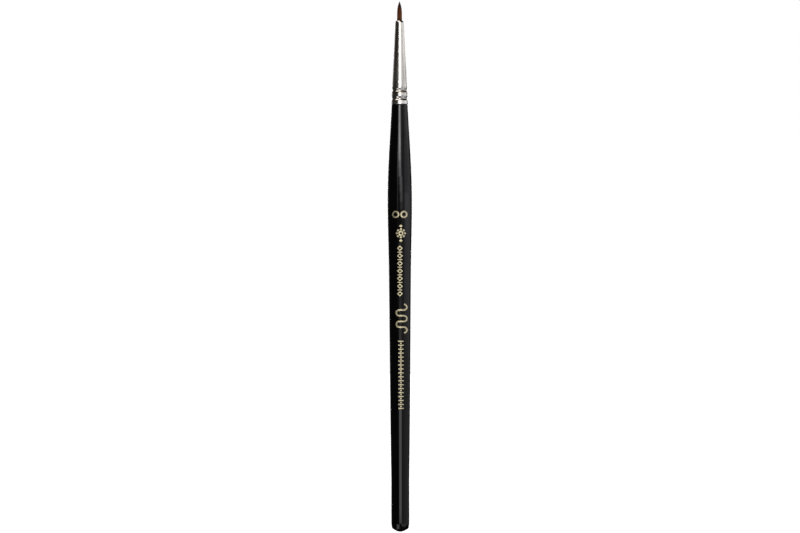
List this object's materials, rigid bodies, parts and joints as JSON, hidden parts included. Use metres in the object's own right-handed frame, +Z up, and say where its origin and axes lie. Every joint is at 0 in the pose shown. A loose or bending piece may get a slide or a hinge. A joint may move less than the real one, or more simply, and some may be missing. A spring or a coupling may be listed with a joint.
{
  "type": "fine detail brush",
  "caption": "Slim round pointed detail brush: short reddish brown tuft, crimped nickel ferrule and bellied gloss black wooden handle with plain foil marks.",
  "frame": {"origin": "centre of the rounded tail end of the handle, its lowest point", "axes": "+Z up the brush's axis from the tail to the hair tip; the foil marks face -Y; the hair bends about Y"},
  "size_m": [0.0082, 0.0082, 0.178],
  "materials": {
    "wood": "satin",
    "undercoat": "matte",
    "lacquer": "gloss",
    "nickel": "polished",
    "glue": "satin",
    "hair": "satin",
    "thread": "matte",
    "resin": "gloss",
    "foil": "satin"
  },
  "bodies": {
    "brush": {"handle_wood": "wood", "undercoat": "undercoat", "black_lacquer": "lacquer", "ferrule": "nickel", "tenon_glue": "glue", "hair_root": "hair", "binding_thread": "thread", "resin_plug": "resin", "size_mark": "foil", "rosette_mark": "foil", "lozenge_marks": "foil", "wave_mark": "foil", "dash_marks": "foil"},
    "tuft": {"tuft": "hair"}
  },
  "joints": [
    {"name": "tuft_bend", "type": "hinge", "parent": "brush", "child": "tuft", "pos_m": [0, 0, 0.17226], "axis": [0, 1, 0], "range_deg": [-45, 45], "stiffness_Nm_per_rad": 0.0003}
  ]
}
